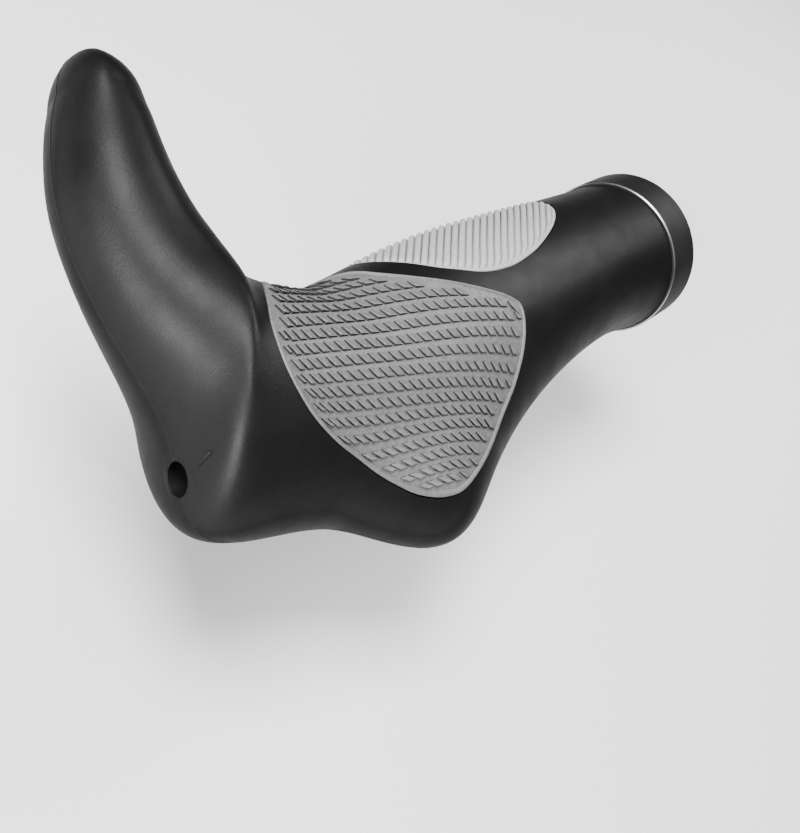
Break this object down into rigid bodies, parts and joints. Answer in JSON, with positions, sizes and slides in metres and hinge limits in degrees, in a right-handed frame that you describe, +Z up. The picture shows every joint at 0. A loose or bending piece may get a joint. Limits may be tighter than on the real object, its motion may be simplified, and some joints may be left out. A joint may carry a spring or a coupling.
{
  "type": "bar end grip",
  "caption": "Ergonomic left-hand bicycle grip: rubber sleeve with palm wing, grey palm and finger pads, curved bar end horn, inboard alloy clamp ring and an end expander.",
  "frame": {"origin": "on the handlebar's axis, at the lock ring's inboard face", "axes": "+X outboard along the handlebar, +Y to the rear towards the rider, +Z up, with the bar level"},
  "size_m": [0.1376, 0.0887, 0.0479],
  "materials": {
    "black_rubber": "matt, fine spark-eroded grain",
    "palm_rubber": "matt mid grey, moulded tread",
    "finger_rubber": "matt light grey, ribbed",
    "sleeve_nylon": "as moulded",
    "core_nylon": "as moulded, glass filled",
    "ring_alloy": "black anodised, bright chamfers",
    "black_steel": "black oxide",
    "zinc_steel": "zinc plated",
    "plain_alloy": "machined",
    "band_rubber": "smooth nitrile"
  },
  "bodies": {
    "grip": {"grip_cover": "black_rubber", "palm_pad": "palm_rubber", "finger_pad": "finger_rubber", "bar_sleeve": "sleeve_nylon", "horn_core": "core_nylon", "expander_washer": "zinc_steel", "jaw_band": "band_rubber"},
    "lock_ring": {"lock_ring": "ring_alloy"},
    "lock_washer": {"lock_washer": "zinc_steel"},
    "lock_bolt": {"lock_bolt": "black_steel"},
    "expander_bolt": {"expander_bolt": "black_steel"},
    "wedge_nut": {"wedge_nut": "plain_alloy"},
    "jaw_top": {"expander_jaw_top": "plain_alloy"},
    "jaw_rear": {"expander_jaw_rear": "plain_alloy"},
    "jaw_front": {"expander_jaw_front": "plain_alloy"}
  },
  "joints": [
    {"name": "ring_turn", "type": "hinge", "parent": "grip", "child": "lock_ring", "pos_m": [0.005, 0, 0], "axis": [1, 0, 0], "continuous": true},
    {"name": "lock_washer_travel", "type": "slide", "parent": "lock_ring", "child": "lock_washer", "axis": [0, 0.8192, -0.5736], "range_m": [0, 0.001]},
    {"name": "lock_bolt_turn", "type": "hinge", "parent": "lock_washer", "child": "lock_bolt", "pos_m": [0.005, -0.00969, -0.01384], "axis": [0, 0.8192, -0.5736], "range_deg": [0, 721]},
    {"name": "expander_bolt_turn", "type": "hinge", "parent": "grip", "child": "expander_bolt", "pos_m": [0.1196, 0, 0], "axis": [1, 0, 0], "range_deg": [-1081, 0]},
    {"name": "wedge_nut_travel", "type": "slide", "parent": "grip", "child": "wedge_nut", "axis": [1, 0, 0], "range_m": [0, 0.0024]},
    {"name": "jaw_top_travel", "type": "slide", "parent": "grip", "child": "jaw_top", "axis": [0, 0, 1], "range_m": [0, 0.00045]},
    {"name": "jaw_rear_travel", "type": "slide", "parent": "grip", "child": "jaw_rear", "axis": [0, 0.866, -0.5], "range_m": [0, 0.00045]},
    {"name": "jaw_front_travel", "type": "slide", "parent": "grip", "child": "jaw_front", "axis": [0, -0.866, -0.5], "range_m": [0, 0.00045]}
  ],
  "couplings": [
    {"joint": "lock_bolt_turn", "follows": "lock_washer_travel", "rad_per_m": 12566},
    {"joint": "expander_bolt_turn", "follows": "wedge_nut_travel", "rad_per_m": -7854},
    {"joint": "jaw_top_travel", "follows": "wedge_nut_travel", "ratio": 0.17857},
    {"joint": "jaw_rear_travel", "follows": "wedge_nut_travel", "ratio": 0.17857},
    {"joint": "jaw_front_travel", "follows": "wedge_nut_travel", "ratio": 0.17857}
  ]
}
